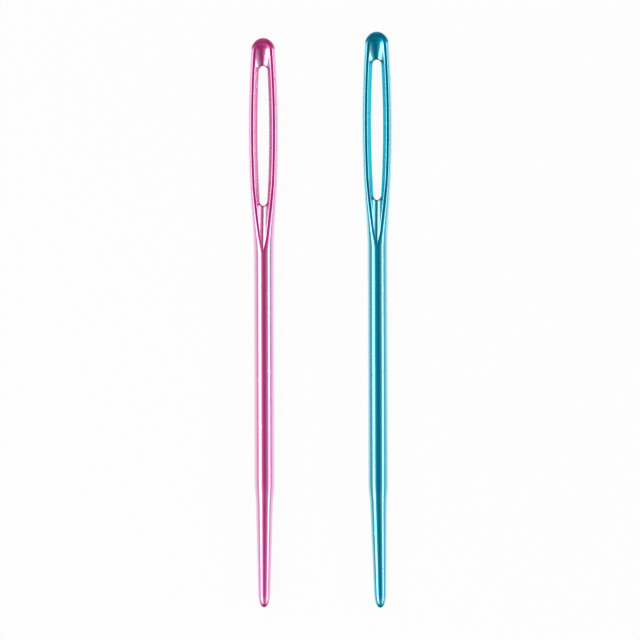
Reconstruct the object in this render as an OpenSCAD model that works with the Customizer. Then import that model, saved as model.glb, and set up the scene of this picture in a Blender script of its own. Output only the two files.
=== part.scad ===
// A pair of large-eye yarn needles with blunt points, one pink and one turquoise.
// Each needle is one length of round aluminium wire. Its head is flattened, pierced with a
// long eye and pressed with a gutter on both faces. Its other end is drawn down to a point.
// The head, the shaft and the point of a needle are drawn as three solids that meet face to
// face, because each is a simple form of its own. Nothing parts or moves between them.
// The needles lie side by side on z = 0, along Y, with their heads toward +Y.

/* [Needles] */
// Overall length of the pink needle
pink_length = 76; // [70:0.1:90]
// Overall length of the turquoise needle
turquoise_length = 76.7; // [70:0.1:90]
// Diameter of the round shaft
shaft_d = 2.65; // [2.4:0.05:2.8]
// Distance between the axes of the two needles
spacing = 15.2; // [6:0.1:30]

/* [Head] */
// Length of the head, from its rounded end to the plain shaft
head_len = 29.3; // [28.5:0.1:32]
// Width of the head at its widest place
head_w = 3.94; // [3.8:0.02:4.2]
// Thickness of the head, from the ridges on one face to those on the other
head_t = 1.8; // [1.5:0.05:2.2]
// Distance from the head's end to where it starts to thicken into the shaft
thin_to = 18; // [16:0.5:20]
// Distance from the head's end to its widest place
widest_at = 12.4; // [11.5:0.1:13.5]
// Radius to which each side of the head is bowed
bow_r = 157; // [145:1:200]
// Length of the rounded end
dome_len = 1.5; // [1.2:0.05:1.8]
// Distance from the head's end to where the bowed sides turn into the shaft
neck_at = 23.5; // [22.5:0.1:25]

/* [Eye] */
// Distance from the head's end to the eye
eye_at = 3.73; // [3.4:0.01:4.2]
// Length of the eye
eye_len = 18.7; // [16:0.1:19]
// Width of the cheek on each side of the eye
cheek_w = 1.18; // [1:0.02:1.3]
// Length over which each end of the eye is rounded
eye_round = 0.6; // [0.4:0.05:0.9]
// Height of the plain wall inside the eye, where the head is thinnest
eye_wall = 0.85; // [0.6:0.05:1]

/* [Gutters] */
// Distance from the head's end to where the gutter begins
gutter_at = 0.7; // [0.6:0.05:1.2]
// Distance from where the gutter fades out to the plain shaft
gutter_out = 0.5; // [0.2:0.1:1.5]
// Length over which the gutter first sinks
trough_run = 0.8; // [0.5:0.1:1.5]
// Radius of the two arcs of the gutter where it begins
trough_first_r = 2; // [1.8:0.05:3]
// Radius of the two arcs of the gutter at the upper end of the eye
trough_last_r = 1.45; // [1.3:0.05:2]
// Half width of the flat floor between the arcs where the gutter begins
trough_flat = 0.12; // [0:0.01:0.2]
// Overlap of each arc past the middle at the upper end of the eye
trough_vee = 0.2; // [0:0.01:0.25]
// Radius of the two arcs of the gutter below the eye
valley_r = 0.85; // [0.8:0.05:1.4]
// Overlap of each arc past the middle below the eye
valley_vee = 0.12; // [0:0.01:0.15]
// Least thickness left between the two gutters
web = 0.4; // [0.2:0.05:0.6]
// Rounding between the ridges and the gutter
crest_round = 0.12; // [0.06:0.01:0.2]
// Distance from the outer edge in to the inner side of a ridge
ridge_in = 0.62; // [0.5:0.01:0.65]
// Width of the flat land on top of each ridge
ridge_land = 0.22; // [0.1:0.01:0.25]
// Distance from the side of the eye to the ridge at the lower end of the eye
ridge_margin = 0.43; // [0.35:0.01:0.55]
// Angle between the two ridges where they close in below the eye, in degrees
ridge_angle = 11.8; // [10:0.2:13]

/* [Point] */
// Length of the point, from the shoulder to the tip
point_len = 16.6; // [12:0.1:20]
// Length of the shoulder, where the shaft steps down to the point
shoulder_len = 3.2; // [2:0.1:4]
// Diameter of the point just past the shoulder
point_d = 2.25; // [2:0.05:2.35]
// Diameter of the point where its blunt tip begins
tip_d = 1.64; // [1.2:0.02:1.8]
// Length of the blunt tip
tip_len = 1.9; // [1:0.1:3]
// Sideways lean of the pink point, in degrees
pink_lean = -0.3; // [-1.5:0.1:1.5]
// Sideways lean of the turquoise point, in degrees
turquoise_lean = 0.9; // [-1.5:0.1:1.5]

/* [Hidden] */
$fn = 64;
shaft_r = shaft_d / 2;
half_w = head_w / 2;
half_t = head_t / 2;
eye_end = eye_at + eye_len;
pair_len = max(pink_length, turquoise_length);
pink = "#d0478f";
turquoise = "#1a9cb8";
// Step from the shaft down to the point, which lets the point lean without standing proud
step = 0.01;
gutter_end = head_len - gutter_out;
// Half width of the rounding at the middle of the gutter
floor_round = 0.12;
// How far the cheek's rounded side reaches, inside and outside each end of the eye
wall_in = 0.35;
wall_out = 0.15;
// How far the gutter's floor reaches into the eye before it has sunk away
floor_in = 1.2;
// Length over which the two ridges meet where the gutter fades out
ridge_run = 2.6;
// Slope of the cheek's inner side just inside the ridge, where its slope at the eye is 1
cheek_turn = 0.9;
// Numbers of facets: across the gutter's side, round the outer side, and along the head
SIDE = 9;
ROUND = 6;
DOME = 6;
BRIDGE = 6;
ARCH = 5;
CHEEK = 14;
NECK = 12;
RIM = 2 * (SIDE + ROUND);

// Eased step from 0 to 1 as t goes from 0 to 1
function ease(t) = let (u = min(max(t, 0), 1)) u * u * (3 - 2 * u);
// Rise of a quarter of an ellipse from 0 to 1 as t goes from 0 to 1
function quarter(t) = t >= 1 ? 1 : t <= 0 ? 0 : sqrt(1 - pow(1 - t, 2));
function mix(a, b, t) = a * (1 - t) + b * t;
// Curve from height a with slope m to height b with no slope, over the length l
function run_out(t, a, m, b, l) =
    (1 - 3 * t * t + 2 * pow(t, 3)) * a + (t - 2 * t * t + pow(t, 3)) * l * m
    + (3 * t * t - 2 * pow(t, 3)) * b;

// In all functions below, s is the distance from the head's rounded end.
function bow(s) = half_w - pow(s - widest_at, 2) / (2 * bow_r);

// Half the width of the head
function half_width(s) =
    s < neck_at ? bow(s) * quarter(s / dome_len)
    : run_out((s - neck_at) / (head_len - neck_at), bow(neck_at),
              (widest_at - neck_at) / bow_r, shaft_r, head_len - neck_at);

// Half the thickness of the head at its ridges
function half_thick(s) =
    mix(half_t, shaft_r, ease((s - thin_to) / (head_len - thin_to))) * quarter(s / dome_len);

// Distance from the middle to the inner side of a cheek
function cheek_in(s) = max(half_width(s) - cheek_w, 0);

// Half the width of the eye, which is 0 above and below it
function half_eye(s) =
    s <= eye_at || s >= eye_end ? 0
    : cheek_in(s) * quarter((s - eye_at) / eye_round) * quarter((eye_end - s) / eye_round);

// Distance from the middle to a ridge's inner side, which closes in below the eye
function ridge(s) =
    let (side = max(half_width(s) - ridge_in, half_width(s) / 2),
         close = cheek_in(eye_end) + ridge_margin + (eye_end - s) * tan(ridge_angle / 2))
    s >= gutter_end ? 0 : max(min(side, close), 0) * sqrt(ease((gutter_end - s) / ridge_run));

// Width of the land on a ridge, which fades out below the eye
function land(s) =
    min(ridge_land * ease((gutter_end - s) / (gutter_end - eye_end)), (half_width(s) - ridge(s)) / 3);

// Fall from the last bend in to x, where each bend is a place and the slope there
function fall(x, bends, i = 0) =
    i > len(bends) - 2 ? 0
    : let (a = bends[i], b = bends[i + 1], at = max(x, a[0]))
      fall(x, bends, i + 1) + (x >= b[0] || b[0] <= a[0] ? 0
          : (b[0] - at) * (mix(a[1], b[1], (at - a[0]) / (b[0] - a[0])) + b[1]) / 2);

// Radius of the gutter's two arcs, and the distance from the middle at which each is lowest
function arch(s) =
    let (along = min((s - gutter_at) / (eye_at - gutter_at), 1))
    s > widest_at ? [valley_r, -valley_vee]
    : [mix(trough_first_r, trough_last_r, along), mix(trough_flat, -trough_vee, along)];

// Slopes across the gutter: rounded at the middle and inside the ridge, with an arc between
function bends(s) =
    let (c = ridge(s),
         r = arch(s)[0],
         low = arch(s)[1],
         near = min(max(low, floor_round), c / 3),
         top = max(c - crest_round, 0.8 * c))
    [[0, 0], [near, max(near - low, 0) / r], [top, (top - low) / r], [c, 0]];

// Height of the face over the gutter, at x from the middle. The two faces never meet.
function gutter_face(x, s) =
    let (room = half_thick(s) - min(web, half_thick(s)) / 2,
         deepest = fall(0, bends(s)))
    half_thick(s)
    - fall(x, bends(s)) * ease((s - gutter_at) / trough_run) * min(room / max(deepest, 0.001), 1);

// Height of the inner side of a cheek, at x from the middle: rounded at the ridge, then steeper
function cheek_face(x, s) =
    let (c = ridge(s),
         e = cheek_in(s),
         slopes = [[e, 1], [max(c - crest_round, mix(e, c, 0.6)), cheek_turn], [c, 0]])
    half_thick(s) - (half_t - eye_wall / 2) * fall(x, slopes) / fall(e, slopes);

// Height inside the ridges: the gutter, or along the eye the cheek's side
function inner_face(x, s) =
    let (past = max(eye_at - s, s - eye_end),
         sunk = mix(gutter_face(x, s), -half_thick(s), ease(-past / floor_in)),
         open = ease((past + wall_in) / (wall_in + wall_out)))
    past < -floor_in ? cheek_face(x, s)
    : past > wall_out ? gutter_face(x, s)
    : mix(max(cheek_face(x, s), sunk), gutter_face(x, s), open);

// Height of the face at x from the middle: inside the ridge, on its land, or on the outer side
function face(x, s) =
    let (c = ridge(s), edge = c + land(s), w = half_width(s))
    x < c ? inner_face(x, s)
    : half_thick(s) * sqrt(max(1 - pow(max(x - edge, 0) / (w - edge), 2), 0));

// Distances from the middle at which a section is drawn, from the eye or the middle outward
function section_x(s) =
    let (e = half_eye(s),
         w = half_width(s),
         m = max(ridge(s), 0.2 * w),
         edge = m + max(land(s), 0.1 * (w - m)))
    [for (k = [0 : SIDE]) m - (m - e) * sin(90 * (1 - k / SIDE)),
     for (k = [0 : ROUND - 1]) mix(edge, w, sin(90 * k / (ROUND - 1)))];

// Half of a section: over the upper face to the outer side, and back along the lower face
function half_section(s, side) =
    let (xs = section_x(s), n = SIDE + ROUND)
    [for (k = [0 : n]) [side * xs[k], k == n ? 0 : face(xs[k], s), s],
     for (k = [n - 1 : -1 : 0]) [side * xs[k], -face(xs[k], s), s]];

// Places of the sections along the head, close together where the outline turns
stations = [
    for (k = [1 : DOME]) dome_len * (1 - cos(90 * k / DOME)),
    for (k = [1 : BRIDGE]) mix(dome_len, eye_at, k / BRIDGE),
    for (k = [1 : ARCH]) eye_at + eye_round * (1 - cos(90 * k / ARCH)),
    for (k = [1 : CHEEK]) mix(eye_at + eye_round, eye_end - eye_round, k / CHEEK),
    for (k = [1 : ARCH]) eye_end - eye_round * (1 - sin(90 * k / ARCH)),
    for (k = [1 : NECK]) mix(eye_end, head_len, k / NECK)
];
LAST = len(stations) - 1;

// Number of a section's point: right and left halves share their middle where there is no eye
function point(i, half, k) =
    let (shared = (k == 0 || k == RIM) && half_eye(stations[i]) == 0)
    1 + (2 * i + (shared ? 0 : half)) * (RIM + 1) + k;

// Two triangles over four points, turned over for the left half
function patch(a, b, c, d, half) =
    half == 0 ? [[a, b, c], [a, c, d]] : [[c, b, a], [d, c, a]];

// The head as a loft through its sections, with the eye left open
module head() {
    points = [[0, 0, 0], for (s = stations) for (side = [1, -1]) each half_section(s, side)];
    end = [for (h = [0, 1]) for (k = [0 : RIM - 1])
        h == 0 ? [0, point(0, h, k + 1), point(0, h, k)] : [0, point(0, h, k), point(0, h, k + 1)]];
    skin = [for (i = [0 : LAST - 1]) for (h = [0, 1]) for (k = [0 : RIM - 1])
        each patch(point(i, h, k), point(i, h, k + 1), point(i + 1, h, k + 1), point(i + 1, h, k), h)];
    walls = [for (i = [0 : LAST - 1]) for (h = [0, 1])
        if (half_eye(stations[i]) > 0 || half_eye(stations[i + 1]) > 0)
            each patch(point(i, h, 0), point(i + 1, h, 0), point(i + 1, h, RIM), point(i, h, RIM), h)];
    rim = concat([for (k = [0 : RIM]) point(LAST, 0, k)],
                 [for (k = [RIM - 1 : -1 : 1]) point(LAST, 1, k)]);
    cap = [for (k = [1 : len(rim) - 2]) [rim[0], rim[k], rim[k + 1]]];
    polyhedron(points, concat(end, skin, walls, cap));
}

// Radius of the point at a distance from the shaft's end
function point_radius(d) =
    let (tip_at = point_len - tip_len)
    d < shoulder_len ? mix(shaft_r - step, point_d / 2, ease(d / shoulder_len))
    : d < tip_at ? mix(point_d / 2, tip_d / 2, (d - shoulder_len) / (tip_at - shoulder_len))
    : tip_d / 2 * quarter((point_len - d) / tip_len);

// The drawn-down point: a turned form that leans to one side, cut square where the shaft ends
module drawn_point(lean) {
    shoulder = [for (k = [0 : 12]) shoulder_len * k / 12];
    tip = [for (k = [0 : 10]) point_len - tip_len * (1 - sin(9 * k))];
    intersection() {
        rotate([0, lean, 0])
            rotate_extrude()
                polygon([[0, -shaft_r],
                         [shaft_r - step, -shaft_r],
                         for (d = concat(shoulder, tip)) [point_radius(d), d]]);
        translate([-2 * shaft_r, -2 * shaft_r, 0])
            cube([4 * shaft_r, 4 * shaft_r, 2 * point_len]);
    }
}

module shaft(length) {
    translate([0, 0, head_len])
        cylinder(r = shaft_r, h = length - head_len - point_len);
}

// Lays a needle down along Y, with its tip level with the tip of the longer one
module lay(x, length) {
    translate([x, length - pair_len / 2, shaft_r])
        rotate([90, 0, 0])
            children();
}

module pink_head() {
    color(pink) lay(-spacing / 2, pink_length) head();
}

module pink_shaft() {
    color(pink) lay(-spacing / 2, pink_length) shaft(pink_length);
}

module pink_point() {
    color(pink)
        lay(-spacing / 2, pink_length)
            translate([0, 0, pink_length - point_len])
                drawn_point(pink_lean);
}

module turquoise_head() {
    color(turquoise) lay(spacing / 2, turquoise_length) head();
}

module turquoise_shaft() {
    color(turquoise) lay(spacing / 2, turquoise_length) shaft(turquoise_length);
}

module turquoise_point() {
    color(turquoise)
        lay(spacing / 2, turquoise_length)
            translate([0, 0, turquoise_length - point_len])
                drawn_point(turquoise_lean);
}

pink_head();
pink_shaft();
pink_point();
turquoise_head();
turquoise_shaft();
turquoise_point();
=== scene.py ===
"""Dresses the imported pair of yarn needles: smooth dyed wire, white table, studio light."""

import math

import bmesh
import bpy
from mathutils import Euler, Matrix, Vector


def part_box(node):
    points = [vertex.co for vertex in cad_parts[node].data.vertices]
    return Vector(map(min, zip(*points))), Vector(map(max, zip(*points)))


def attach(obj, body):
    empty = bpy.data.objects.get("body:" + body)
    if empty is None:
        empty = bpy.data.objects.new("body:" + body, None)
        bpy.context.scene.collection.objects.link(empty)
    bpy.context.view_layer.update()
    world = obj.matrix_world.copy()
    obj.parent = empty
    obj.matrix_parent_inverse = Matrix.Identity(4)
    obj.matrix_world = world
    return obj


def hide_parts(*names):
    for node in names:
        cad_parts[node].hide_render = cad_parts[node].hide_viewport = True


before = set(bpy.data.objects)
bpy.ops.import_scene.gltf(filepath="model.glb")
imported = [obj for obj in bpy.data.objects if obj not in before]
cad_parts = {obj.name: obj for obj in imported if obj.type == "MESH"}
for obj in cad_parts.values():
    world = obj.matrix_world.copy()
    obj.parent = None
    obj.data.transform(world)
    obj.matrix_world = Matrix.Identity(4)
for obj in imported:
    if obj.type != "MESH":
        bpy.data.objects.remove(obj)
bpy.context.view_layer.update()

bl_info = {
    "name": "Yarn Needle Pair",
    "version": (1, 0, 0),
    "blender": (4, 5, 0),
    "location": "3D View > Sidebar > Needles",
    "description": "Builds two large-eye yarn needles and the table they lie on",
    "category": "Add Mesh",
}

MM = 0.001

# Columns of a section: across the gutter's side, and round the outer side
SIDE = 18
ROUND = 14
QUARTER = SIDE + ROUND
RING = 4 * QUARTER
# Least share of the half width inside the ridge's column, and of the outer side under the land's
LEAST_INSIDE = 0.2
LEAST_LAND = 0.06

# Slope of the cheek's inner side just inside the ridge, where its slope at the eye is 1
CHEEK_TURN = 0.9
# Least share of a cheek's inner side, and of a gutter's side, before it rounds off at the ridge
CHEEK_SIDE = 0.6
GUTTER_SIDE = 0.8
# Length over which the point takes up its lean
LEAN_RUN = 2 * MM
# Slack in finding the rows at the two ends of the eye
SLACK = 1e-9

# Rows of sections along each stretch of a needle
DOME_ROWS = 14
BRIDGE_ROWS = 16
ARCH_ROWS = 12
RIM_ROWS = 5
CHEEK_ROWS = 44
NECK_ROWS = 56
SHAFT_ROWS = 24
SHOULDER_ROWS = 14
TAPER_ROWS = 16
TIP_ROWS = 14

# Depth below the ridges from which a place counts as fully in a gutter
FULL_DEPTH = 0.6 * MM
# Over what lengths the unpolished side of a cheek fades in, from the eye's end and the ridge
WALL_FADE_ALONG = 1 * MM
WALL_FADE_ACROSS = 0.3 * MM
# Painted dark reflection on the domed end: where it has gone and over what length, as shares of
# the dome's length, and how strong it is for each unit of tilt and at most
DOME_DARK_END = 1.4
DOME_DARK_RUN = 0.65
DOME_DARK_TILT = 2.5
DOME_DARK_MOST = 0.56
# Painted shade and dark reflection at the eye's two ends: the tilt from which it is full, its reach
# beside the eye, and its reach beyond the eye as a share of the rim's rounding
RIM_SHADE_TILT = 0.5
RIM_SHADE_BESIDE = 0.1 * MM
RIM_SHADE_BEYOND = 1.01
# Painted dark reflection on the lands, and the widths over which it fades inside and outside each
LAND_DARK = 0.55
LAND_FADE_IN = 0.05 * MM
LAND_FADE_OUT = 0.12 * MM

# Noise patterns of the finish: scale, detail, and scale along the wire as a share of the scale
CLOUDS = (320.0, 2.0, 0.25)
STREAKS = (2600.0, 3.0, 0.03)
RIPPLES = (620.0, 1.0, 0.7)
DRAWING_LINES = (5200.0, 2.0, 0.02)
PITS = (2400.0, 1.0, 0.6)

# Share of the darker dye painted into a gutter as shade, and in the cloudy parts of the film
GUTTER_SHADE = 0.3
CLOUD_DYE = 0.12
# From what level of painted dark reflection and shade the dye is painted darker, and how fast
DEEP_FROM = 0.45
DEEP_GAIN = 3.2
# From what level a streak is worn, how fast, and the tone and share that worn dye is mixed with
WORN_FROM = 0.6
WORN_GAIN = 1.6
WORN_TONE = 0.9
WORN_SHARE = 0.12
# From what level of painted dark reflection the painted sheen is taken away, and how fast
SHEEN_OFF_FROM = 0.2
SHEEN_OFF_GAIN = 3.5
# Share of painted light, a brighter sheen for light reflected between the cheeks, on their inner
# side
INNER_PAINTED_LIGHT = 0.75

# Height of the bump for a value of 1, and depth of a nick that has full strength
BUMP_STEP = 0.1 * MM
NICK_STEP = 0.01 * MM
# From what level a pit is a nick, and the height of the drawing lines in steps of the bump
NICK_FROM = 0.66
LINE_HEIGHT = 0.012
# Roughness that the drawing lines and the inner walls add, and that the polish takes off again
LINE_SCUFF = 0.1
WALL_SCUFF = 0.1
POLISHED_OFF = 0.05

# What is left of the red, green and blue of each dye in painted shade, dark reflection and clouds
PINK_SHADE_AND_CLOUD = (0.24, 0.3, 0.13)
TURQUOISE_SHADE_AND_CLOUD = (0.19, 0.2, 0.14)
# Share of painted sheen and highlight, a paler colour, where a face turns away by a number of
# degrees
PINK_PAINTED_SHEEN = (
    (0, 0.0),
    (11, 0.12),
    (18, 0.36),
    (25, 0.52),
    (30, 0.56),
    (36, 0.55),
    (44, 0.52),
    (54, 0.65),
    (64, 0.75),
    (90, 0.85),
)
TURQUOISE_PAINTED_SHEEN = (
    (0, 0.0),
    (11, 0.01),
    (18, 0.15),
    (24, 0.5),
    (30, 0.5),
    (36, 0.34),
    (44, 0.2),
    (53, 0.45),
    (64, 0.8),
    (90, 0.9),
)

# Brightness of the tent by the angle from overhead to the right, in degrees
TENT = (
    (-86, 0.64),
    (-26, 0.85),
    (-14, 0.78),
    (-4, 0.48),
    (16, 0.44),
    (34, 0.56),
    (46, 0.7),
    (94, 0.64),
)
# Brightness of the tent for light that isn't seen in a reflection
TENT_FILL = 0.5
# Half the side of the table top, the shade of its paint, and how much of it glows where it is seen
TABLE_HALF = 4.0
TABLE_PAINT = 0.8
TABLE_GLOW = 0.95
# Power of a lamp with a face of one square metre and a brightness of 1
LAMP_POWER = 4


def ease(t):
    """Eased step from 0 to 1 as t goes from 0 to 1."""
    t = min(max(t, 0.0), 1.0)
    return t * t * (3.0 - 2.0 * t)


def quarter(t):
    """Rise of a quarter of an ellipse from 0 to 1 as t goes from 0 to 1."""
    t = min(max(t, 0.0), 1.0)
    return math.sqrt(1.0 - (1.0 - t) ** 2)


def mix(a, b, t):
    """Value that lies at share t of the way from a to b."""
    return a + (b - a) * t


def grey(level):
    """Opaque grey of one level."""
    return (level, level, level, 1)


def run_out(t, a, m, b, length):
    """Curve from height a with slope m to height b with no slope, over a length."""
    return (
        (1 - 3 * t**2 + 2 * t**3) * a
        + (t - 2 * t**2 + t**3) * length * m
        + (3 * t**2 - 2 * t**3) * b
    )


def fall(x, bends):
    """Fall from the last bend in to x. A bend is a place and its slope, from the middle out."""
    total = 0.0
    for (near, near_slope), (far, far_slope) in zip(bends, bends[1:]):
        if x < far and far > near:
            at = max(x, near)
            slope = mix(near_slope, far_slope, (at - near) / (far - near))
            total += (far - at) * (slope + far_slope) / 2
    return total


def soft_max(a, b, soft):
    """The larger of two heights, blended over a soft distance where they cross."""
    gap = min(max(0.5 + (a - b) / (2 * soft), 0.0), 1.0)
    return mix(b, a, gap) + soft * gap * (1 - gap)


def length_property(name, description, millimetres):
    """Length that isn't negative, with its default in millimetres."""
    return bpy.props.FloatProperty(
        name=name,
        description=description,
        default=millimetres * MM,
        min=0.0,
        precision=5,
        subtype="DISTANCE",
        unit="LENGTH",
    )


def place_property(name, description, millimetres):
    """Place on either side of the middle, with its default in millimetres."""
    return bpy.props.FloatProperty(
        name=name,
        description=description,
        default=millimetres * MM,
        precision=5,
        subtype="DISTANCE",
        unit="LENGTH",
    )


def angle_property(name, description, degrees):
    """Angle with its default in degrees."""
    return bpy.props.FloatProperty(
        name=name,
        description=description,
        default=math.radians(degrees),
        subtype="ANGLE",
        unit="ROTATION",
    )


def colour_property(name, description, default):
    """Colour as three levels of linear light."""
    return bpy.props.FloatVectorProperty(
        name=name,
        description=description,
        default=default,
        size=3,
        min=0.0,
        max=1.0,
        subtype="COLOR",
    )


def level_property(name, description, default):
    """Plain number that isn't negative."""
    return bpy.props.FloatProperty(name=name, description=description, default=default, min=0.0)


class NeedleSizes(bpy.types.PropertyGroup):
    """Sizes that both needles share, measured from the head's rounded end."""

    head_len: length_property("Head Length", "From the rounded end to the plain shaft", 29.3)
    head_w: length_property("Head Width", "Width of the head at its widest place", 3.94)
    head_t: length_property("Head Thickness", "From the ridges of one face to the other's", 1.8)
    thin_to: length_property("Thin To", "Where the head starts to thicken into the shaft", 18)
    widest_at: length_property("Widest At", "Where the head is widest", 12.4)
    bow_r: length_property("Bow Radius", "Radius to which each side of the head is bowed", 157)
    dome_len: length_property("Dome Length", "Length of the rounded end", 1.5)
    neck_at: length_property("Neck At", "Where the bowed sides turn into the shaft", 23.5)
    eye_at: length_property("Eye At", "Where the eye begins", 3.73)
    eye_len: length_property("Eye Length", "Length of the eye", 18.7)
    cheek_w: length_property("Cheek Width", "Width of the cheek beside the eye", 1.18)
    eye_round: length_property("Eye Rounding", "Length of each rounded end of the eye", 0.6)
    eye_wall: length_property("Eye Wall", "Height of the plain wall inside the eye", 0.85)
    eye_rim: length_property("Eye Rim", "Rounding of the eye's rim", 0.13)
    gutter_at: length_property("Gutter At", "Where the gutter begins", 0.7)
    gutter_out: length_property("Gutter Out", "From where the gutter fades out to the shaft", 0.5)
    trough_run: length_property("Trough Run", "Length over which the gutter first sinks", 0.8)
    trough_first_r: length_property("Trough First Radius", "Radius of its sides where it begins", 2)
    trough_last_r: length_property("Trough Last Radius", "Radius of its sides at the eye", 1.45)
    trough_flat: length_property(
        "Trough Flat", "Half width of the flat floor where it begins", 0.12
    )
    trough_vee: length_property("Trough Vee", "Overlap of its two arcs at the eye", 0.2)
    valley_r: length_property("Valley Radius", "Radius of the gutter's sides below the eye", 0.85)
    valley_vee: length_property("Valley Vee", "Overlap of the two arcs below the eye", 0.12)
    floor_round: length_property("Floor Rounding", "Half width of the rounding at the middle", 0.12)
    crest_round: length_property("Crest Rounding", "Width of the rounding inside a ridge", 0.12)
    crease_round: length_property("Crease Rounding", "Rounding between wall and floor", 0.04)
    wall_in: length_property(
        "Wall In", "How far the cheek's inner side is full inside the eye", 0.35
    )
    wall_out: length_property("Wall Out", "How far the cheek's inner side runs past the eye", 0.15)
    floor_in: length_property(
        "Floor In", "How far the gutter's floor reaches past the eye's end", 1.2
    )
    ridge_in: length_property("Ridge Inset", "From the outer edge in to the ridge", 0.62)
    ridge_land: length_property("Ridge Land", "Width of the flat land on top of each ridge", 0.22)
    ridge_run: length_property(
        "Ridge Run", "Length over which the ridges meet at the gutter's end", 2.6
    )
    ridge_angle: angle_property("Ridge Angle", "Angle of the ridges below the eye", 11.8)
    ridge_margin: length_property(
        "Ridge Margin", "From the eye's side to the ridge at the eye's lower end", 0.43
    )
    point_len: length_property("Point Length", "From the shoulder to the tip", 16.6)
    shoulder_len: length_property("Shoulder Length", "Where the shaft steps down", 3.2)
    point_d: length_property("Point Diameter", "Diameter just past the shoulder", 2.25)
    tip_d: length_property("Tip Diameter", "Diameter where the blunt tip begins", 1.64)
    tip_len: length_property("Tip Length", "Length of the blunt tip", 1.9)
    pink_lean: angle_property("Pink Lean", "Sideways lean of the pink point", -0.3)
    turquoise_lean: angle_property("Turquoise Lean", "Sideways lean of the turquoise point", 0.9)


class NeedleFinish(bpy.types.PropertyGroup):
    """Colours and polish of the dyed aluminium."""

    pink: colour_property("Pink Dye", "Colour of the pink needle", (0.76, 0.068, 0.34))
    # Sheens are painted highlight and reflected white; inner sheens are painted light in the eye
    pink_sheen: colour_property(
        "Pink Sheen", "Colour of the pink film at a glance", (0.96, 0.70, 0.93)
    )
    pink_inner: colour_property(
        "Pink Inner Sheen", "Sheen in the eye of the pink needle", (0.88, 0.54, 0.74)
    )
    turquoise: colour_property("Turquoise Dye", "Colour of the turquoise needle", (0.002, 0.3, 0.5))
    turquoise_sheen: colour_property(
        "Turquoise Sheen", "Colour of the turquoise film at a glance", (0.45, 0.92, 0.94)
    )
    turquoise_inner: colour_property(
        "Turquoise Inner Sheen", "Sheen in the eye of the turquoise needle", (0.07, 0.88, 0.95)
    )
    roughness: level_property("Roughness", "Roughness of the polished metal", 0.16)
    coat_ior: level_property("Film Index", "Refractive index of the clear outer film", 1.45)
    coat_weight: level_property("Film Gloss", "Weight of the clear outer film", 0.08)
    coat_roughness: level_property("Film Roughness", "Roughness of the clear outer film", 0.2)
    ripple: length_property("Ripple Depth", "Depth of the soft ripples left by polishing", 0.008)
    nick: length_property("Nick Depth", "Depth of the small nicks", 0.006)


class StageSettings(bpy.types.PropertyGroup):
    """Camera and light over the white table."""

    lens: level_property("Lens", "Focal length in millimetres", 180.0)
    distance: length_property("Camera Distance", "From the needles' middle to the camera", 426.6)
    aim_x: place_property("Aim Across", "Sideways place of the camera", -0.1)
    aim_y: place_property("Aim Along", "Lengthways place of the camera", -0.02)
    from_right: angle_property("Camera From Right", "How far the camera stands to the right", 4.2)
    roll: angle_property("Camera Roll", "Turn of the camera about its line of sight", 0.175)
    left_at: angle_property("Left Lamp At", "Lean of the left lamp from overhead", 45.3)
    left_wide: angle_property("Left Lamp Width", "Width of the left lamp as seen", 27)
    left_level: level_property("Left Lamp Level", "Brightness of the left lamp's face", 2.1)
    right_at: angle_property("Right Lamp At", "Lean of the right lamp from overhead", 65.2)
    right_wide: angle_property("Right Lamp Width", "Width of the right lamp as seen", 17)
    right_level: level_property("Right Lamp Level", "Brightness of the right lamp's face", 1.8)
    lamp_head: angle_property("Lamp Head End", "How far the lamps reach toward the heads", 22)
    lamp_foot: angle_property("Lamp Foot End", "How far the lamps reach toward the points", 50)
    lamp_far: length_property("Lamp Distance", "From the needles to each lamp", 400)


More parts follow.
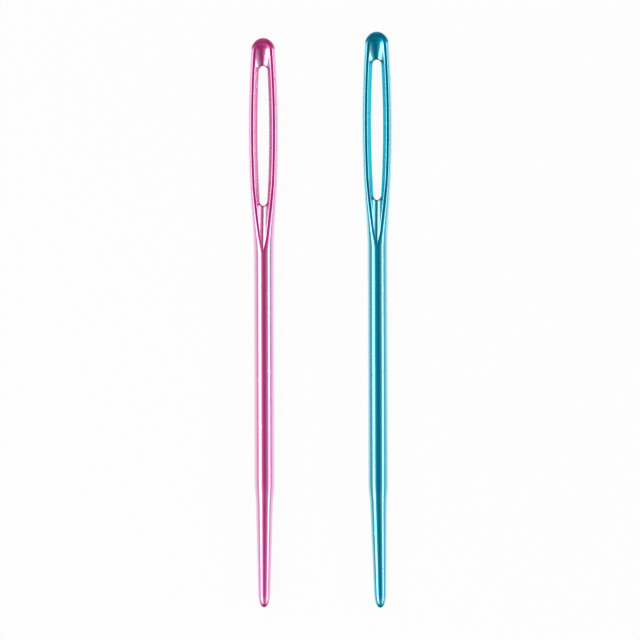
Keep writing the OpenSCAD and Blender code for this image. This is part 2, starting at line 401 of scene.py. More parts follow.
class Form:
    """The form of one needle. In all its functions s is the distance from the head's end."""

    def __init__(self, sizes, head, shaft, lean):
        self.sizes = sizes
        low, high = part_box(shaft)
        self.axis_x = (low.x + high.x) / 2
        self.axis_z = (low.z + high.z) / 2
        self.shaft_r = (high.z - low.z) / 2
        self.head_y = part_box(head)[1].y
        self.shaft_end = self.head_y - low.y
        self.length = self.shaft_end + sizes.point_len
        self.lean = lean
        self.eye_end = sizes.eye_at + sizes.eye_len
        self.gutter_end = sizes.head_len - sizes.gutter_out

    def bow(self, s):
        """Half width of the head between its bowed sides."""
        return self.sizes.head_w / 2 - (s - self.sizes.widest_at) ** 2 / (2 * self.sizes.bow_r)

    def point_radius(self, s):
        """Radius of the point: its shoulder, its taper and its blunt tip."""
        sizes = self.sizes
        d = s - self.shaft_end
        tip_at = sizes.point_len - sizes.tip_len
        if d < sizes.shoulder_len:
            return mix(self.shaft_r, sizes.point_d / 2, ease(d / sizes.shoulder_len))
        if d < tip_at:
            along = (d - sizes.shoulder_len) / (tip_at - sizes.shoulder_len)
            return mix(sizes.point_d, sizes.tip_d, along) / 2
        return sizes.tip_d / 2 * quarter((sizes.point_len - d) / sizes.tip_len)

    def half_width(self, s):
        """Half width of the needle's outline."""
        sizes = self.sizes
        if s < sizes.neck_at:
            return self.bow(s) * quarter(s / sizes.dome_len)
        if s < sizes.head_len:
            run = sizes.head_len - sizes.neck_at
            along = (s - sizes.neck_at) / run
            slope = (sizes.widest_at - sizes.neck_at) / sizes.bow_r
            return run_out(along, self.bow(sizes.neck_at), slope, self.shaft_r, run)
        return self.point_radius(s) if s > self.shaft_end else self.shaft_r

    def half_thick(self, s):
        """Half thickness of the needle between its two faces."""
        sizes = self.sizes
        if s > self.shaft_end:
            return self.point_radius(s)
        thicken = ease((s - sizes.thin_to) / (sizes.head_len - sizes.thin_to))
        return mix(sizes.head_t / 2, self.shaft_r, thicken) * quarter(s / sizes.dome_len)

    def past_eye(self, s):
        """How far a section lies past the nearer end of the eye. It is negative in the eye."""
        return max(self.sizes.eye_at - s, s - self.eye_end)

    def cheek_in(self, s):
        """Distance from the middle to the inner edge of a cheek."""
        return max(self.half_width(s) - self.sizes.cheek_w, 0.0)

    def half_eye(self, s):
        """Half width of the eye, which is 0 outside it."""
        sizes = self.sizes
        if s <= sizes.eye_at or s >= self.eye_end:
            return 0.0
        upper = quarter((s - sizes.eye_at) / sizes.eye_round)
        lower = quarter((self.eye_end - s) / sizes.eye_round)
        return self.cheek_in(s) * (upper * lower)

    def ridge(self, s):
        """Distance from the middle to a ridge, which closes in below the eye."""
        sizes = self.sizes
        if s >= self.gutter_end:
            return 0.0
        w = self.half_width(s)
        side = max(w - sizes.ridge_in, w / 2)
        closing = (self.eye_end - s) * math.tan(sizes.ridge_angle / 2)
        close = self.cheek_in(self.eye_end) + sizes.ridge_margin + closing
        return min(side, close) * math.sqrt(ease((self.gutter_end - s) / sizes.ridge_run))

    def land(self, s):
        """Width of the land on a ridge, which fades out below the eye."""
        fade = ease((self.gutter_end - s) / (self.gutter_end - self.eye_end))
        return min(self.sizes.ridge_land * fade, (self.half_width(s) - self.ridge(s)) / 3)

    def arch(self, s):
        """Radius of the gutter's two arcs, and how far from the middle each is lowest."""
        sizes = self.sizes
        if s > sizes.widest_at:
            return sizes.valley_r, -sizes.valley_vee
        along = min((s - sizes.gutter_at) / (sizes.eye_at - sizes.gutter_at), 1.0)
        radius = mix(sizes.trough_first_r, sizes.trough_last_r, along)
        return radius, mix(sizes.trough_flat, -sizes.trough_vee, along)

    def floor(self, x, s):
        """Height of the gutter's floor: two arcs that meet in the middle."""
        sizes = self.sizes
        c = self.ridge(s)
        radius, low = self.arch(s)
        sunk = ease((s - sizes.gutter_at) / sizes.trough_run)
        near = min(max(low, sizes.floor_round), c / 3)
        top = max(c - sizes.crest_round, GUTTER_SIDE * c)
        bends = ((0, 0), (near, max(near - low, 0) / radius), (top, (top - low) / radius), (c, 0))
        return self.half_thick(s) - sunk * fall(x, bends)

    def wall(self, x, s):
        """Height of the inner side of a cheek: rounded at the ridge, then steeper."""
        sizes = self.sizes
        c, inner = self.ridge(s), self.cheek_in(s)
        turn = max(c - sizes.crest_round, mix(inner, c, CHEEK_SIDE))
        slopes = ((inner, 1), (turn, CHEEK_TURN), (c, 0))
        deep = (sizes.head_t - sizes.eye_wall) / 2
        return self.half_thick(s) - deep * fall(x, slopes) / fall(inner, slopes)

    def trough(self, x, s):
        """Height inside the ridges: the floor, or the cheek's inner side where that is higher."""
        sizes = self.sizes
        past = self.past_eye(s)
        if past < -sizes.floor_in:
            return self.wall(x, s)
        floor = self.floor(x, s)
        if past > sizes.wall_out:
            return floor
        steep = ease((past + sizes.wall_in) / (sizes.wall_in + sizes.wall_out))
        sink = (self.half_thick(s) + floor) * ease(-past / sizes.floor_in)
        higher = soft_max(self.wall(x, s), floor - sink, sizes.crease_round)
        return mix(higher, floor, steep)

    def rim_drop(self, x, s):
        """How far the rounding of the eye's rim lies below the face."""
        sizes = self.sizes
        past = self.past_eye(s)
        if past > sizes.eye_rim:
            return 0.0
        along = min(-past / sizes.eye_round, 1.0)
        inner = self.cheek_in(s)
        out = math.hypot(x / inner, 1 - along) - 1
        from_eye = max(out, 0.0) * mix(sizes.eye_round, inner, max(along, 0.0))
        return sizes.eye_rim * (1 - quarter(from_eye / sizes.eye_rim))

    def face(self, x, s):
        """Height of the face over the middle plane: inside the ridge, on its land, or outside."""
        c, w = self.ridge(s), self.half_width(s)
        if x < c:
            return self.trough(x, s) - self.rim_drop(x, s)
        edge = c + self.land(s)
        return self.half_thick(s) * math.sqrt(max(1 - (max(x - edge, 0.0) / (w - edge)) ** 2, 0.0))

    def centre(self, s):
        """Sideways offset of the section, which leans smoothly along the point."""
        d = s - self.shaft_end
        if d <= 0:
            return 0.0
        run = d * d / (2 * LEAN_RUN) if d < LEAN_RUN else d - LEAN_RUN / 2
        return math.tan(self.lean) * run

    def column_x(self, k, s):
        """Distance from the middle of the section's k-th column."""
        e, w = self.half_eye(s), self.half_width(s)
        m = max(self.ridge(s), LEAST_INSIDE * w)
        if k <= SIDE:
            return m - (m - e) * math.sin(math.pi / 2 * (1 - k / SIDE))
        edge = m + max(self.land(s), LEAST_LAND * (w - m))
        return mix(edge, w, math.sin(math.pi / 2 * (k - SIDE - 1) / (ROUND - 1)))

    def place(self, s, column):
        """Where a section's vertex lies, counted round the section from the upper middle."""
        k = column % (2 * QUARTER)
        k = min(k, 2 * QUARTER - k)
        right = 1 if column < 2 * QUARTER else -1
        up = 1 if column < QUARTER or column > 3 * QUARTER else -1
        x = self.column_x(k, s)
        z = 0.0 if k == QUARTER else self.face(x, s)
        if k == 0:
            x = 0.0
        across = self.axis_x + self.centre(s) + right * x
        return Vector((across, self.head_y - s, self.axis_z + up * z))

    def depth_in_gutter(self, co, s):
        """How deep a place lies in a gutter or in the eye, from 0 to 1."""
        c = self.ridge(s)
        x = abs(co.x - self.axis_x)
        if c <= 0 or x >= c:
            return 0.0
        drop = self.half_thick(s) - abs(co.z - self.axis_z)
        return min(max(drop / FULL_DEPTH, 0.0), 1.0)

    def wall_share(self, co, s):
        """1 on the unpolished inner side of a cheek and 0 on the polished faces."""
        c = self.ridge(s)
        if c <= 0:
            return 0.0
        x = abs(co.x - self.axis_x)
        return ease(-self.past_eye(s) / WALL_FADE_ALONG) * ease((c - x) / WALL_FADE_ACROSS)

    def painted_rim_shade(self, x, tilt, lengthways, s):
        """Painted shade and dark reflection on faces round the eye's two ends, from 0 to 1."""
        sizes = self.sizes
        if tilt <= 0 or not -sizes.eye_round < self.past_eye(s) < RIM_SHADE_BEYOND * sizes.eye_rim:
            return 0.0
        beside = ease((self.cheek_in(s) + RIM_SHADE_BESIDE - x) / RIM_SHADE_BESIDE)
        return lengthways / tilt * ease(tilt / RIM_SHADE_TILT) * beside

    def painted_land_reflection(self, x, s):
        """Painted dark reflection on the land of a ridge, from 0 to 1."""
        c = self.ridge(s)
        if c <= 0 or s <= self.sizes.dome_len:
            return 0.0
        inside = ease((x - c + LAND_FADE_IN) / LAND_FADE_IN)
        outside = ease((c + self.land(s) + LAND_FADE_OUT - x) / LAND_FADE_OUT)
        return LAND_DARK * inside * outside

    def painted_dark_reflection(self, co, normal, s):
        """Painted dark reflection and shade, 0 to 1: toward the needle's ends and on the lands."""
        x = abs(co.x - self.axis_x)
        lengthways = abs(normal.y)
        tilt = math.sqrt(max(1 - normal.z**2, 0))
        dome_len = self.sizes.dome_len
        dome = ease((DOME_DARK_END * dome_len - s) / (DOME_DARK_RUN * dome_len))
        return max(
            lengthways * (1 - dome),
            min(DOME_DARK_TILT * tilt, DOME_DARK_MOST) * dome,
            self.painted_rim_shade(x, tilt, lengthways, s),
            self.painted_land_reflection(x, s),
        )

    def rows(self):
        """Places of the sections along the needle, close together where its outline turns."""
        sizes = self.sizes
        tip_at = self.length - sizes.tip_len
        shoulder = self.shaft_end + sizes.shoulder_len
        stops = [
            sizes.dome_len * (1 - math.cos(math.pi / 2 * k / DOME_ROWS))
            for k in range(1, DOME_ROWS + 1)
        ]

        def even(a, b, count):
            stops.extend(mix(a, b, k / count) for k in range(1, count + 1))

        even(sizes.dome_len, sizes.eye_at - sizes.eye_rim, BRIDGE_ROWS)
        rim = [sizes.eye_rim * math.cos(math.pi / 2 * k / RIM_ROWS) for k in range(1, RIM_ROWS)]
        stops.extend(sizes.eye_at - d for d in rim)
        stops.append(sizes.eye_at)
        turn = [math.pi / 2 * k / ARCH_ROWS for k in range(1, ARCH_ROWS + 1)]
        stops.extend(sizes.eye_at + sizes.eye_round * (1 - math.cos(t)) for t in turn)
        even(sizes.eye_at + sizes.eye_round, self.eye_end - sizes.eye_round, CHEEK_ROWS)
        stops.extend(self.eye_end - sizes.eye_round * (1 - math.sin(t)) for t in turn)
        stops.extend(self.eye_end + d for d in reversed(rim))
        even(self.eye_end + sizes.eye_rim, sizes.head_len, NECK_ROWS)
        even(sizes.head_len, self.shaft_end, SHAFT_ROWS)
        even(self.shaft_end, shoulder, SHOULDER_ROWS)
        even(shoulder, tip_at, TAPER_ROWS)
        stops.extend(
            self.length - sizes.tip_len * (1 - math.sin(math.pi / 2 * k / TIP_ROWS))
            for k in range(1, TIP_ROWS)
        )
        return stops


def draw_out(form):
    """Draws a closed ring of edges out into the whole needle and closes its two ends."""
    bm = bmesh.new()
    column = bm.verts.layers.int.new("column")
    row = bm.verts.layers.int.new("row")
    bmesh.ops.create_circle(bm, segments=RING, radius=form.shaft_r, cap_ends=False)
    for vert in bm.verts:
        vert[column] = round(math.atan2(vert.co.x, vert.co.y) / math.tau * RING) % RING
    ring, verts = bm.edges[:], bm.verts[:]
    rows = form.rows()
    first_verts = verts
    for number, s in enumerate(rows):
        if number:
            made = bmesh.ops.extrude_edge_only(bm, edges=ring)["geom"]
            verts = [item for item in made if isinstance(item, bmesh.types.BMVert)]
            fresh = set(verts)
            ring = [
                item
                for item in made
                if isinstance(item, bmesh.types.BMEdge) and fresh.issuperset(item.verts)
            ]
        for vert in verts:
            vert.co = form.place(s, vert[column])
            vert[row] = number
    for end, s in ((first_verts, 0.0), (verts, form.length)):
        edges = [e for e in bm.edges if e.is_boundary and e.verts[0] in set(end)]
        made = bmesh.ops.extrude_edge_only(bm, edges=edges)["geom"]
        pole = [item for item in made if isinstance(item, bmesh.types.BMVert)]
        tip = Vector((form.axis_x + form.centre(s), form.head_y - s, form.axis_z))
        bmesh.ops.pointmerge(bm, verts=pole, merge_co=tip)
    return bm, column, row, rows


def pierce_eye(bm, column, row, rows, form):
    """Opens the eye between the faces and walls it through."""
    first = min(n for n, s in enumerate(rows) if s >= form.sizes.eye_at - SLACK)
    last = max(n for n, s in enumerate(rows) if s <= form.eye_end + SLACK)
    for middle in (0, 2 * QUARTER):
        cut = [
            edge
            for edge in bm.edges
            if all(v[column] == middle and first <= v[row] <= last for v in edge.verts)
            and edge.verts[0][row] != edge.verts[1][row]
        ]
        bmesh.ops.split_edges(bm, edges=cut)
    rim = [edge for edge in bm.edges if edge.is_boundary]
    for vert in {v for edge in rim for v in edge.verts}:
        e = form.half_eye(rows[vert[row]])
        if e > 0:
            faces = vert.link_faces
            side = sum(face.calc_center_median().x for face in faces) / len(faces)
            vert.co.x = form.axis_x + math.copysign(e, side - form.axis_x)
    bmesh.ops.bridge_loops(bm, edges=rim)
    bmesh.ops.recalc_face_normals(bm, faces=bm.faces)


def make_needle(name, colour_word, lean, material):
    """Makes one needle in place of its three CAD solids."""
    sizes = bpy.context.scene.needle_sizes
    head, shaft, point = (f"{colour_word}_{part}" for part in ("head", "shaft", "point"))
    form = Form(sizes, head, shaft, lean)
    bm, column, row, rows = draw_out(form)
    pierce_eye(bm, column, row, rows, form)
    # Masks: painted shade in gutters, inner walls (roughness, painted light), painted dark
    # reflection
    depth = bm.verts.layers.float.new("gutter_depth")
    wall = bm.verts.layers.float.new("inner_wall")
    thick = bm.verts.layers.float.new("painted_dark_reflection")
    bm.normal_update()
    for vert in bm.verts:
        s = form.head_y - vert.co.y
        vert[depth] = form.depth_in_gutter(vert.co, s)
        vert[wall] = form.wall_share(vert.co, s)
        vert[thick] = form.painted_dark_reflection(vert.co, vert.normal, s)
    for face in bm.faces:
        face.smooth = True
    mesh = bpy.data.meshes.new(name)
    bm.to_mesh(mesh)
    bm.free()
    mesh.materials.append(material)
    piece = bpy.data.objects.new(name, mesh)
    bpy.context.scene.collection.objects.link(piece)
    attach(piece, colour_word)
    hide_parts(head, shaft, point)
    return piece


def new_group(name, inputs, outputs):
    """Starts a shader node group with named sockets."""
    group = bpy.data.node_groups.new(name, "ShaderNodeTree")
    for label, kind, value in inputs:
        socket = group.interface.new_socket(name=label, in_out="INPUT", socket_type=kind)
        socket.default_value = value
    for label, kind in outputs:
        group.interface.new_socket(name=label, in_out="OUTPUT", socket_type=kind)
    return group


def add_node(tree, kind, x, y, **settings):
    """Adds a node at a place in its editor, with settings such as its operation."""
    node = tree.nodes.new(kind)
    node.location = (x, y)
    for key, value in settings.items():
        setattr(node, key, value)
    return node


def feed(tree, socket, value):
    """Links a socket to another one, or sets its value."""
    if isinstance(value, bpy.types.NodeSocket):
        tree.links.new(value, socket)
    else:
        socket.default_value = value


def add_math(tree, operation, a, b, x, y, clamp=False):
    """Adds a Math node whose two inputs are sockets or numbers."""
    node = add_node(tree, "ShaderNodeMath", x, y, operation=operation, use_clamp=clamp)
    feed(tree, node.inputs[0], a)
    feed(tree, node.inputs[1], b)
    return node.outputs[0]


def add_noise(tree, vector, pattern, x, y):
    """Adds a noise pattern on object coordinates, stretched along the wire."""
    scale, detail, stretch = pattern
    mapping = add_node(tree, "ShaderNodeMapping", x, y)
    mapping.inputs["Scale"].default_value = (1.0, stretch, 1.0)
    noise = add_node(tree, "ShaderNodeTexNoise", x + 200, y)
    noise.inputs["Scale"].default_value = scale
    noise.inputs["Detail"].default_value = detail
    tree.links.new(vector, mapping.inputs["Vector"])
    tree.links.new(mapping.outputs["Vector"], noise.inputs["Vector"])
    return noise.outputs[0]


def add_mix(tree, factor, a, b, x, y):
    """Adds a colour Mix node whose inputs are sockets or values."""
    node = add_node(tree, "ShaderNodeMix", x, y, data_type="RGBA")
    feed(tree, node.inputs[0], factor)
    feed(tree, node.inputs[6], a)
    feed(tree, node.inputs[7], b)
    return node.outputs[2]


def add_ramp(tree, factor, stops, x, y):
    """Adds a ramp of greys, given as places and levels."""
    ramp = add_node(tree, "ShaderNodeValToRGB", x, y)
    elements = ramp.color_ramp.elements
    for place, _ in stops[2:]:
        elements.new(place)
    for element, (place, level) in zip(elements, stops):
        element.position = place
        element.color = grey(level)
    tree.links.new(factor, ramp.inputs["Fac"])
    return ramp.outputs["Color"]


def dye_group():
    """Colour of a dyed film: uneven along the wire, darker for painted shade and dark reflection.
    """
    group = new_group(
        "Dye And Painted Shade",
        (
            ("Dye", "NodeSocketColor", grey(0.5)),
            ("Shade And Cloud Dye", "NodeSocketColor", grey(0.2)),
            ("Worn Dye", "NodeSocketColor", grey(0.8)),
            ("Gutter Depth", "NodeSocketFloat", 0.0),
            ("Thickness", "NodeSocketFloat", 0.0),
            ("Inner Wall", "NodeSocketFloat", 0.0),
        ),
        (("Color", "NodeSocketColor"),),
    )
    given = add_node(group, "NodeGroupInput", -900, 0)
    out = add_node(group, "NodeGroupOutput", 900, 0)
    coords = add_node(group, "ShaderNodeTexCoord", -900, -300).outputs["Object"]
    cloud = add_noise(group, coords, CLOUDS, -700, -200)
    streak = add_noise(group, coords, STREAKS, -700, -500)
    depth, wall = given.outputs["Gutter Depth"], given.outputs["Inner Wall"]
    # Painted shade: the gutters take the darker dye, but the inner sides of the cheeks don't
    gutter = add_math(group, "SUBTRACT", depth, wall, -500, 100, clamp=True)
    gutter = add_math(group, "MULTIPLY", gutter, GUTTER_SHADE, -300, 100)
    # The Thickness input carries painted dark reflection and shade, which darken the dye
    thick = add_math(group, "SUBTRACT", given.outputs["Thickness"], DEEP_FROM, -500, 300)
    thick = add_math(group, "MULTIPLY", thick, DEEP_GAIN, -300, 300, clamp=True)
    deep = add_math(group, "MAXIMUM", gutter, thick, -100, 100)
    uneven = add_math(group, "MULTIPLY", cloud, CLOUD_DYE, -300, -200)
    deep = add_math(group, "ADD", deep, uneven, 100, 0, clamp=True)
    base = add_mix(group, deep, given.outputs["Dye"], given.outputs["Shade And Cloud Dye"], 300, 100)
    worn = add_math(group, "SUBTRACT", streak, WORN_FROM, -300, -500, clamp=True)
    worn = add_math(group, "MULTIPLY", worn, WORN_GAIN, -100, -500, clamp=True)
    colour = add_mix(group, worn, base, given.outputs["Worn Dye"], 500, 0)
    group.links.new(colour, out.inputs["Color"])
    return group


def polish_group():
    """Surface of polished wire: soft ripples, fine drawing lines and a few small nicks."""
    group = new_group(
        "Polished Wire",
        (
            ("Roughness", "NodeSocketFloat", 0.2),
            ("Inner Wall", "NodeSocketFloat", 0.0),
            ("Ripple", "NodeSocketFloat", 0.5),
            ("Nicks", "NodeSocketFloat", 0.3),
        ),
        (("Height", "NodeSocketFloat"), ("Roughness", "NodeSocketFloat")),
    )
    given = add_node(group, "NodeGroupInput", -900, 0)
    out = add_node(group, "NodeGroupOutput", 900, 0)
    coords = add_node(group, "ShaderNodeTexCoord", -900, -300).outputs["Object"]
    ripple = add_noise(group, coords, RIPPLES, -700, 200)
    lines = add_noise(group, coords, DRAWING_LINES, -700, -100)
    pits = add_noise(group, coords, PITS, -700, -400)
    nick = add_math(group, "SUBTRACT", pits, NICK_FROM, -300, -400, clamp=True)
    nick = add_math(group, "MULTIPLY", nick, given.outputs["Nicks"], -100, -400)
    swell = add_math(group, "MULTIPLY", ripple, given.outputs["Ripple"], -300, 200)
    fine = add_math(group, "MULTIPLY", lines, LINE_HEIGHT, -300, -100)
    height = add_math(group, "ADD", swell, fine, 100, 100)
    height = add_math(group, "SUBTRACT", height, nick, 300, 100)
    scuff = add_math(group, "MULTIPLY", lines, LINE_SCUFF, -100, -200)
    dull = add_math(group, "MULTIPLY", given.outputs["Inner Wall"], WALL_SCUFF, 100, -200)
    rough = add_math(group, "ADD", given.outputs["Roughness"], scuff, 300, -200)
    rough = add_math(group, "ADD", rough, dull, 500, -200)
    rough = add_math(group, "SUBTRACT", rough, POLISHED_OFF, 700, -200, clamp=True)
    group.links.new(height, out.inputs["Height"])
    group.links.new(rough, out.inputs["Roughness"])
    return group


def group_named(name, maker):
    """Node group of a name, made when the first needle asks for it."""
    return bpy.data.node_groups.get(name) or maker()


def anodised(name, dye, deep, sheen, inner_sheen, paling):
    """One needle's material: coloured metal under a clear film, with painted sheen as it turns
    away.
    """
    finish = bpy.context.scene.needle_finish
    material = bpy.data.materials.new(name)
    material.use_nodes = True
    tree = material.node_tree
    shader = tree.nodes["Principled BSDF"]
    depth = add_node(tree, "ShaderNodeAttribute", -1000, 0, attribute_name="gutter_depth")
    wall = add_node(tree, "ShaderNodeAttribute", -1000, -400, attribute_name="inner_wall")
    # This attribute is painted dark reflection and shade
    thick = add_node(tree, "ShaderNodeAttribute", -1000, -200, attribute_name="painted_dark_reflection")
    dyed, polished = group_named("Dye And Painted Shade", dye_group), group_named("Polished Wire", polish_group)
    film = add_node(tree, "ShaderNodeGroup", -700, 200, node_tree=dyed)
    wire = add_node(tree, "ShaderNodeGroup", -700, -200, node_tree=polished)
    film.inputs["Dye"].default_value = (*dye, 1)
    # The darker dye stands for painted shade and painted dark reflection, and for the cloudy random
    # tone
    film.inputs["Shade And Cloud Dye"].default_value = (*(c * share for c, share in zip(dye, deep)), 1)
    film.inputs["Worn Dye"].default_value = (*(mix(c, WORN_TONE, WORN_SHARE) for c in dye), 1)
    wire.inputs["Roughness"].default_value = finish.roughness
    wire.inputs["Ripple"].default_value = finish.ripple / BUMP_STEP
    wire.inputs["Nicks"].default_value = finish.nick / NICK_STEP
    tree.links.new(depth.outputs["Fac"], film.inputs["Gutter Depth"])
    tree.links.new(thick.outputs["Fac"], film.inputs["Thickness"])
    tree.links.new(wall.outputs["Fac"], wire.inputs["Inner Wall"])
    tree.links.new(wall.outputs["Fac"], film.inputs["Inner Wall"])
    bump = add_node(tree, "ShaderNodeBump", -400, -300)
    bump.inputs["Strength"].default_value = 1.0
    bump.inputs["Distance"].default_value = BUMP_STEP
    tree.links.new(wire.outputs["Height"], bump.inputs["Height"])
    # Painted dark reflection takes away the painted sheen
    full = add_math(tree, "SUBTRACT", thick.outputs["Fac"], SHEEN_OFF_FROM, -1100, 650)
    full = add_math(tree, "MULTIPLY", full, SHEEN_OFF_GAIN, -900, 650, clamp=True)
    thin = add_math(tree, "SUBTRACT", 1.0, full, -700, 650)
    # Painted sheen and highlight: a paler colour mixed in by how far a face turns from the camera
    facing = add_node(tree, "ShaderNodeLayerWeight", -900, 400)
    stops = [(1 - math.cos(math.radians(angle)), level) for angle, level in paling]
    turned = add_ramp(tree, facing.outputs["Facing"], stops, -700, 400)
    # Painted light on the inner side of a cheek, in the inner sheen colour
    inside = add_math(tree, "MULTIPLY", wall.outputs["Fac"], INNER_PAINTED_LIGHT, -700, 850)
    share = add_math(tree, "MAXIMUM", turned, inside, -500, 500)
    share = add_math(tree, "MULTIPLY", share, thin, -300, 500, clamp=True)
    pale = add_mix(tree, wall.outputs["Fac"], (*sheen, 1), (*inner_sheen, 1), -500, 0)
    colour = add_mix(tree, share, film.outputs["Color"], pale, -200, 300)
    shader.inputs["Metallic"].default_value = 1.0
    shader.inputs["Coat Weight"].default_value = finish.coat_weight
    shader.inputs["Coat IOR"].default_value = finish.coat_ior
    shader.inputs["Coat Roughness"].default_value = finish.coat_roughness
    tree.links.new(colour, shader.inputs["Base Color"])
    tree.links.new(wire.outputs["Roughness"], shader.inputs["Roughness"])
    tree.links.new(bump.outputs["Normal"], shader.inputs["Normal"])
    return material


def seen_directly(tree, x, y):
    """1 for rays from the camera, in reflections and through glass, and 0 for the rest."""
    path = add_node(tree, "ShaderNodeLightPath", x, y).outputs
    seen = add_math(tree, "ADD", path["Is Camera Ray"], path["Is Glossy Ray"], x + 200, y)
    return add_math(tree, "ADD", seen, path["Is Transmission Ray"], x + 400, y, clamp=True)


def make_floor():
    """White table top that keeps the needles' soft shadow."""
    bm = bmesh.new()
    bmesh.ops.create_grid(bm, x_segments=1, y_segments=1, size=TABLE_HALF)
    mesh = bpy.data.meshes.new("table_top")
    bm.to_mesh(mesh)
    bm.free()
    material = bpy.data.materials.new("white_table")
    material.use_nodes = True
    tree = material.node_tree
    tree.nodes.clear()
    out = add_node(tree, "ShaderNodeOutputMaterial", 600, 0)
    paint = add_node(tree, "ShaderNodeBsdfDiffuse", 0, 100)
    paint.inputs["Color"].default_value = grey(TABLE_PAINT)
    glow = add_node(tree, "ShaderNodeEmission", 0, -100)
    glow.inputs["Color"].default_value = grey(1)
    share = add_math(tree, "MULTIPLY", seen_directly(tree, -600, 300), TABLE_GLOW, 100, 300)
    blend = add_node(tree, "ShaderNodeMixShader", 300, 0)
    tree.links.new(share, blend.inputs[0])
    tree.links.new(paint.outputs[0], blend.inputs[1])
    tree.links.new(glow.outputs[0], blend.inputs[2])
    tree.links.new(blend.outputs[0], out.inputs["Surface"])
    mesh.materials.append(material)
    floor = bpy.data.objects.new("table_top", mesh)
    bpy.context.scene.collection.objects.link(floor)


def make_world():
    """White tent round the table, with a grey opening overhead that runs along the needles."""
    world = bpy.data.worlds.new("white_tent")
    bpy.context.scene.world = world
    world.use_nodes = True
    tree = world.node_tree
    sky = tree.nodes["Background"]
    coords = add_node(tree, "ShaderNodeTexCoord", -1200, 0)
    split = add_node(tree, "ShaderNodeSeparateXYZ", -1000, 0)
    tree.links.new(coords.outputs["Generated"], split.inputs["Vector"])
    lean = add_math(tree, "ARCTAN2", split.outputs["X"], split.outputs["Z"], -800, 0)
    wall = add_node(tree, "ShaderNodeMapRange", -600, 0)
    wall.inputs["From Min"].default_value = -math.pi
    wall.inputs["From Max"].default_value = math.pi
    tree.links.new(lean, wall.inputs["Value"])
    stops = [(0.5 + angle / 360, level) for angle, level in TENT]
    tent_wall = add_ramp(tree, wall.outputs["Result"], stops, -400, 0)
    path = add_node(tree, "ShaderNodeLightPath", -800, 400).outputs
    direct = add_math(
        tree, "ADD", path["Is Camera Ray"], path["Is Transmission Ray"], -400, 400, clamp=True
    )
    tent = add_mix(tree, path["Is Glossy Ray"], grey(TENT_FILL), tent_wall, -100, 100)
    shown = add_mix(tree, direct, tent, grey(1), 0, 200)
    tree.links.new(shown, sky.inputs["Color"])


def make_lamp(name, lean, wide, level, stage, aim):
    """Soft lamp that leans sideways from overhead and covers given angles as seen."""
    lamp = bpy.data.lights.new(name, "AREA")
    lamp.shape = "RECTANGLE"
    lamp.size = 2 * stage.lamp_far * math.tan(wide / 2)
    head, foot = math.tan(stage.lamp_head), math.tan(stage.lamp_foot)
    lamp.size_y = stage.lamp_far * (head + foot)
    lamp.energy = LAMP_POWER * level * lamp.size * lamp.size_y
    holder = bpy.data.objects.new(name, lamp)
    back = Vector((math.sin(lean), (head - foot) / 2, math.cos(lean)))
    holder.location = aim + back * stage.lamp_far
    holder.rotation_euler = (0, lean, 0)
    holder.visible_camera = False
    bpy.context.scene.collection.objects.link(holder)


def make_camera(stage, aim):
    """Camera above the needles and a little to their right, with their heads at the top."""
    camera = bpy.data.cameras.new("camera")
    camera.lens = stage.lens
    holder = bpy.data.objects.new("camera", camera)
    turn = Euler((0, stage.from_right, -stage.roll))
    back = Vector((stage.aim_x, stage.aim_y, stage.distance))
    holder.location = aim + turn.to_matrix() @ back
    holder.rotation_euler = turn
    bpy.context.scene.collection.objects.link(holder)
    bpy.context.scene.camera = holder


class NEEDLE_OT_pink(bpy.types.Operator):
    """Make the pink needle"""

    bl_idname = "needle.pink"
    bl_label = "Pink Needle"

    def execute(self, context):
        finish = context.scene.needle_finish
        material = anodised(
            "pink_anodised_wire",
            finish.pink,
            PINK_SHADE_AND_CLOUD,
            finish.pink_sheen,
            finish.pink_inner,
            PINK_PAINTED_SHEEN,
        )
        lean = context.scene.needle_sizes.pink_lean
        make_needle("pink_needle", "pink", lean, material)
        return {"FINISHED"}


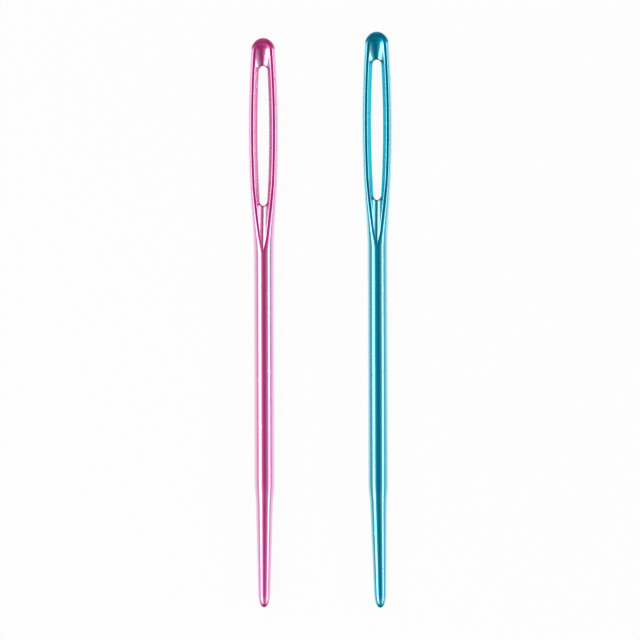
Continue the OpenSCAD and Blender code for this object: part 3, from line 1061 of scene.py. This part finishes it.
class NEEDLE_OT_turquoise(bpy.types.Operator):
    """Make the turquoise needle"""

    bl_idname = "needle.turquoise"
    bl_label = "Turquoise Needle"

    def execute(self, context):
        finish = context.scene.needle_finish
        material = anodised(
            "turquoise_anodised_wire",
            finish.turquoise,
            TURQUOISE_SHADE_AND_CLOUD,
            finish.turquoise_sheen,
            finish.turquoise_inner,
            TURQUOISE_PAINTED_SHEEN,
        )
        lean = context.scene.needle_sizes.turquoise_lean
        make_needle("turquoise_needle", "turquoise", lean, material)
        return {"FINISHED"}


class NEEDLE_OT_stage(bpy.types.Operator):
    """Make the white table, the lamps and the camera"""

    bl_idname = "needle.stage"
    bl_label = "Stage"

    def execute(self, context):
        stage = context.scene.needle_stage
        low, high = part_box("pink_shaft")
        aim = Vector((0, 0, (low.z + high.z) / 2))
        make_floor()
        make_world()
        make_lamp("left_lamp", -stage.left_at, stage.left_wide, stage.left_level, stage, aim)
        make_lamp("right_lamp", stage.right_at, stage.right_wide, stage.right_level, stage, aim)
        make_camera(stage, aim)
        context.scene.view_settings.view_transform = "Standard"
        return {"FINISHED"}


class NEEDLE_PT_sidebar(bpy.types.Panel):
    """Lists the needles, their sizes and their stage"""

    bl_idname = "NEEDLE_PT_sidebar"
    bl_label = "Yarn Needles"
    bl_space_type = "VIEW_3D"
    bl_region_type = "UI"
    bl_category = "Needles"

    def draw(self, context):
        for operator in (NEEDLE_OT_pink, NEEDLE_OT_turquoise, NEEDLE_OT_stage):
            self.layout.operator(operator.bl_idname)
        scene = context.scene
        for group in (scene.needle_sizes, scene.needle_finish, scene.needle_stage):
            box = self.layout.box()
            for key in group.__annotations__:
                box.prop(group, key)


CLASSES = (
    NeedleSizes,
    NeedleFinish,
    StageSettings,
    NEEDLE_OT_pink,
    NEEDLE_OT_turquoise,
    NEEDLE_OT_stage,
    NEEDLE_PT_sidebar,
)


def register():
    for cls in CLASSES:
        bpy.utils.register_class(cls)
    bpy.types.Scene.needle_sizes = bpy.props.PointerProperty(type=NeedleSizes)
    bpy.types.Scene.needle_finish = bpy.props.PointerProperty(type=NeedleFinish)
    bpy.types.Scene.needle_stage = bpy.props.PointerProperty(type=StageSettings)


def unregister():
    del bpy.types.Scene.needle_stage
    del bpy.types.Scene.needle_finish
    del bpy.types.Scene.needle_sizes
    for cls in reversed(CLASSES):
        bpy.utils.unregister_class(cls)


def main():
    register()
    bpy.ops.needle.pink()
    bpy.ops.needle.turquoise()
    bpy.ops.needle.stage()


if __name__ == "__main__":
    main()
